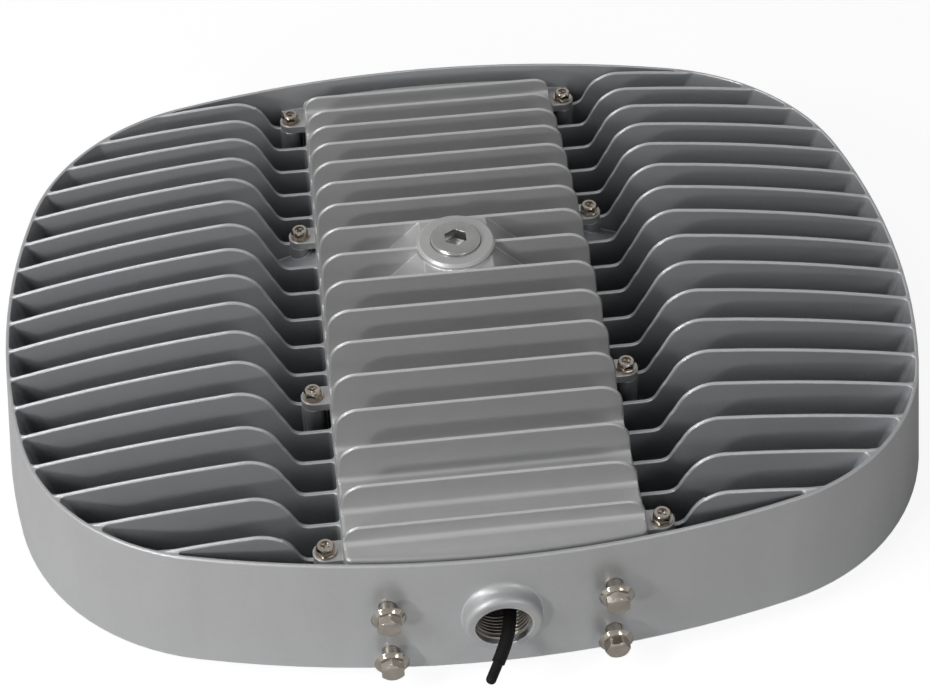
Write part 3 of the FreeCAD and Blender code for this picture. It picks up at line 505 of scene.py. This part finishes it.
def ledDomeTree(sizes):
    field, given = startTree("ledDome", sizes)
    ball = field.node("GeometryNodeMeshUVSphere", {}, {"Segments": given["segments"], "Rings": given["rings"],
                                                       "Radius": given["radius"]})
    flatness = given["height"] / given["radius"]
    squash = field.node("ShaderNodeCombineXYZ", {}, {"X": 1.0, "Y": 1.0, "Z": flatness})
    dome = moved(field, ball, Scale=squash)
    smooth = field.node("GeometryNodeSetShadeSmooth", {}, {"Geometry": dome})
    spread = field.node("GeometryNodeInstanceOnPoints", {}, {"Points": given["Geometry"], "Instance": smooth})
    return endTree(field, given, spread)


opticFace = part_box("optic_plates")[0][2]
domeSpots = [(x, y, opticFace) for x, y, _ in islandMiddles("led_packages")]
ledDomes = grownPiece("ledDomes", ledDomeTree(ledDome), ledDome, opticAcrylic, domeSpots)
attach(ledDomes, lightBody)
print("lens domes", len(ledDomes.data.polygons), "faces")


# Plug and bracket bolts, with their edges broken

edgeWidths = {"plug": 0.25, "bolt": 0.3}  # mm
socketPlug = roundEdges(linked("socketPlug", mergedCopy("port_plug"), plugSteel), edgeWidths["plug"])
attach(socketPlug, lightBody)
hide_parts("port_plug")
for corner in ("upper_left", "lower_left", "upper_right", "lower_right"):
    flangeBolt = linked("flangeBolt_" + corner, mergedCopy("bracket_bolt_" + corner), nickelPlate)
    roundEdges(flangeBolt, edgeWidths["bolt"])
    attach(flangeBolt, "bolt_" + corner)
    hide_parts("bracket_bolt_" + corner)
print("plug and bolts rounded")


# Supply cable

cable = {  # mm
    "radius": 3.1,
    "length": 42.2,
    "stepsEachSpan": 12,
    "roundSteps": 6,
    "route": [(4.5, -168.44, 37.6), (4.5, -179.04, 37.6), (3.1, -189.54, 36.5), (0.3, -199.64, 34.7),
              (-4.6, -208.44, 32.3)],
}


def cableCurve(name, sizes):
    curve = bpy.data.curves.new(name, "CURVE")
    curve.dimensions = "3D"
    spline = curve.splines.new("NURBS")
    spline.points.add(len(sizes["route"]) - 1)
    for point, (x, y, z) in zip(spline.points, sizes["route"]):
        point.co = (x * mm, y * mm, z * mm, 1)
    spline.order_u = 3
    spline.use_endpoint_u = True
    spline.resolution_u = sizes["stepsEachSpan"]
    curve.bevel_depth = sizes["radius"] * mm
    curve.bevel_resolution = sizes["roundSteps"]
    curve.use_fill_caps = True
    return curve


supplyCable = linked("supplyCable", cableCurve("supplyCable", cable), cableJacket)
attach(supplyCable, lightBody)
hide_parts("supply_cable")
print("cable laid")


# Stage, light and camera

stage = {"floorHalf": 3.0, "floorColour": grey(0.92), "floorRoughness": 0.9, "floorGlow": 1.2,
         "glowShare": 0.75, "white": grey(1.0), "worldLight": 0.08,
         "skyMirrored": {"level": 0.8, "overhead": 0.55, "lean": -0.1}, "lampAim": (0, 0, 0.05)}
floorMesh = bpy.data.meshes.new("floor")
half = stage["floorHalf"]
corners = [(-half, -half, 0), (half, -half, 0), (half, half, 0), (-half, half, 0)]
floorMesh.from_pydata(corners, [], [(0, 1, 2, 3)])
floorFinish, field, shader = newFinish("paleFloor", {"Base Color": stage["floorColour"],
                                                     "Roughness": stage["floorRoughness"]})
rays = field.tree.nodes.new("ShaderNodeLightPath").outputs
seen = Field(field.tree, rays["Is Camera Ray"])
lit = Field(field.tree, shader.outputs[0])
glow = field.node("ShaderNodeEmission", {}, {"Color": stage["white"], "Strength": stage["floorGlow"]})
share = field.node("ShaderNodeMixShader", {}, {0: seen * stage["glowShare"], 1: lit, 2: glow})
field.tree.links.new(share.socket, field.tree.nodes["Material Output"].inputs["Surface"])
floor = linked("floor", floorMesh, floorFinish)

world = bpy.data.worlds.new("studio")
bpy.context.scene.world = world
world.use_nodes = True
sky = Field(world.node_tree)
rays = world.node_tree.nodes.new("ShaderNodeLightPath").outputs
direct = Field(sky.tree, rays["Is Camera Ray"]).math("MAXIMUM", Field(sky.tree, rays["Is Transmission Ray"]))
mirrored = Field(sky.tree, rays["Is Glossy Ray"])
toward = sky.node("ShaderNodeTexCoord", out="Generated")
climb = sky.node("ShaderNodeSeparateXYZ", {}, {0: toward}, out="Z").math("MAXIMUM", 0.0)
sideways = sky.node("ShaderNodeSeparateXYZ", {}, {0: toward}, out="X")
mirror = stage["skyMirrored"]
reflected = mirror["level"] + (mirror["overhead"] - mirror["level"]) * climb + mirror["lean"] * sideways
dim = stage["worldLight"]
strength = dim + (1.0 - dim) * direct + (reflected - dim) * mirrored
background = world.node_tree.nodes["Background"]
background.inputs["Color"].default_value = stage["white"]
world.node_tree.links.new(strength.socket, background.inputs["Strength"])

lamps = {
    "sideSoftbox": {"from": (-1.1, -0.6, 1.05), "size": 0.6, "watts": 7.5},
    "frontSoftbox": {"from": (-0.85, -1.0, 0.55), "size": 0.15, "watts": 3.6},
    "overheadSoftbox": {"from": (-0.75, 0.0, 1.7), "size": 0.5, "watts": 4.0},
    "lowSoftbox": {"from": (0.6, -1.2, 0.7), "size": 0.4, "watts": 1.7},
}
for name, lamp in lamps.items():
    light = bpy.data.lights.new(name, "AREA")
    light.shape = "DISK"
    light.size = lamp["size"]
    light.energy = lamp["watts"]
    spot = bpy.data.objects.new(name, light)
    spot.location = lamp["from"]
    aim = Vector(stage["lampAim"]) - Vector(lamp["from"])
    spot.rotation_euler = aim.to_track_quat("-Z", "Y").to_euler()
    bpy.context.scene.collection.objects.link(spot)

view = {"azimuth": -5.375, "elevation": 44.971, "roll": -1.434, "distance": 1088.178,
        "focalPixels": 2018.193, "target": (4.763, 14.752, 10.0), "imageWidth": 930,
        "sensorWidth": 36.0}  # degrees and mm
azimuth, elevation, roll = (math.radians(view[k]) for k in ("azimuth", "elevation", "roll"))
back = Vector((math.sin(azimuth) * math.cos(elevation), -math.cos(azimuth) * math.cos(elevation),
               math.sin(elevation)))
level = Vector((math.cos(azimuth), math.sin(azimuth), 0))
rise = back.cross(level)
right = math.cos(roll) * level + math.sin(roll) * rise
up = math.cos(roll) * rise - math.sin(roll) * level
eye = (Vector(view["target"]) + back * view["distance"]) * mm
lens = bpy.data.cameras.new("camera")
lens.sensor_width = view["sensorWidth"]
lens.lens = view["focalPixels"] * lens.sensor_width / view["imageWidth"]
camera = bpy.data.objects.new("camera", lens)
camera.matrix_world = Matrix.Translation(eye) @ Matrix((right, up, back)).transposed().to_4x4()
bpy.context.scene.collection.objects.link(camera)
bpy.context.scene.camera = camera
bpy.context.scene.view_settings.view_transform = "Standard"
print("stage, lamps and camera set")
